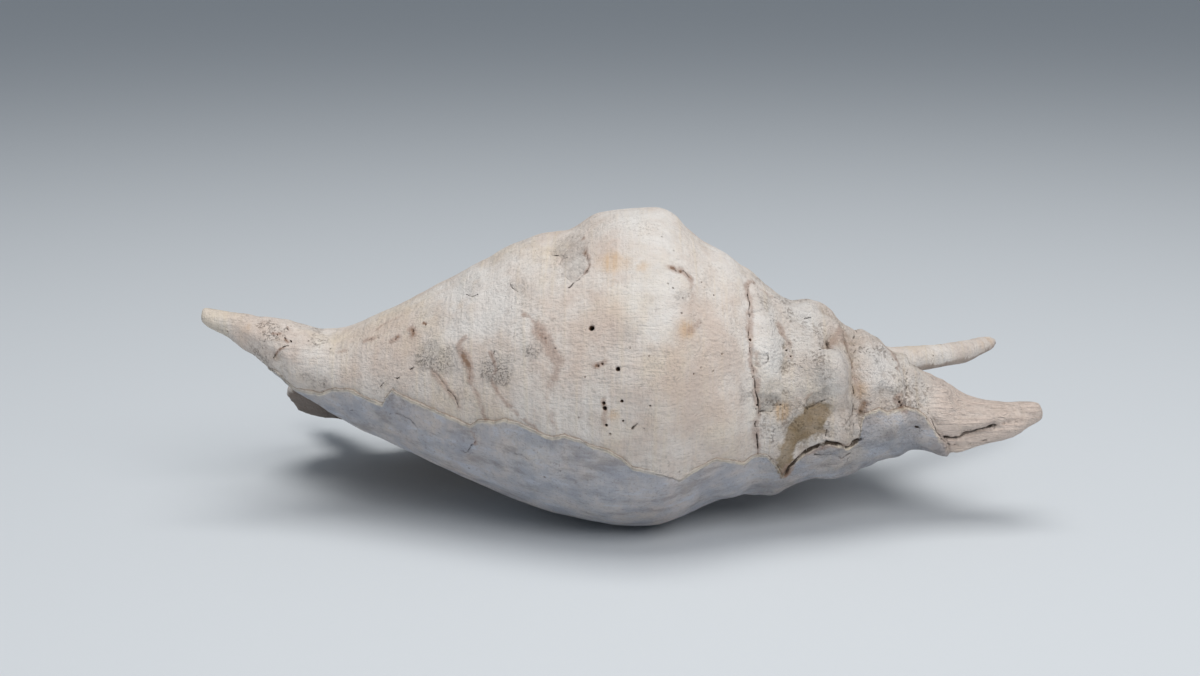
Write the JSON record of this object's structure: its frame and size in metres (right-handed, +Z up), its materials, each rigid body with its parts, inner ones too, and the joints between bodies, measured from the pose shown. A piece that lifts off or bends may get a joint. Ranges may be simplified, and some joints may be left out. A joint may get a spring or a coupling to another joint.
{
  "type": "spider conch shell",
  "caption": "Worn, bleached spider conch shell lying on its aperture side, with a long canal, a knobbed spire and a flared lip with finger-like spines.",
  "frame": {"origin": "on the surface that the shell rests on, under the middle of its bounding box", "axes": "+X along the shell's axis towards the spire, +Y towards the flared lip, +Z up, away from the aperture side"},
  "size_m": [0.2054, 0.132, 0.0759],
  "materials": {
    "shell": "matt, chalky, bleached and pitted"
  },
  "bodies": {
    "root": {"spider_conch_shell": "shell"}
  },
  "joints": []
}
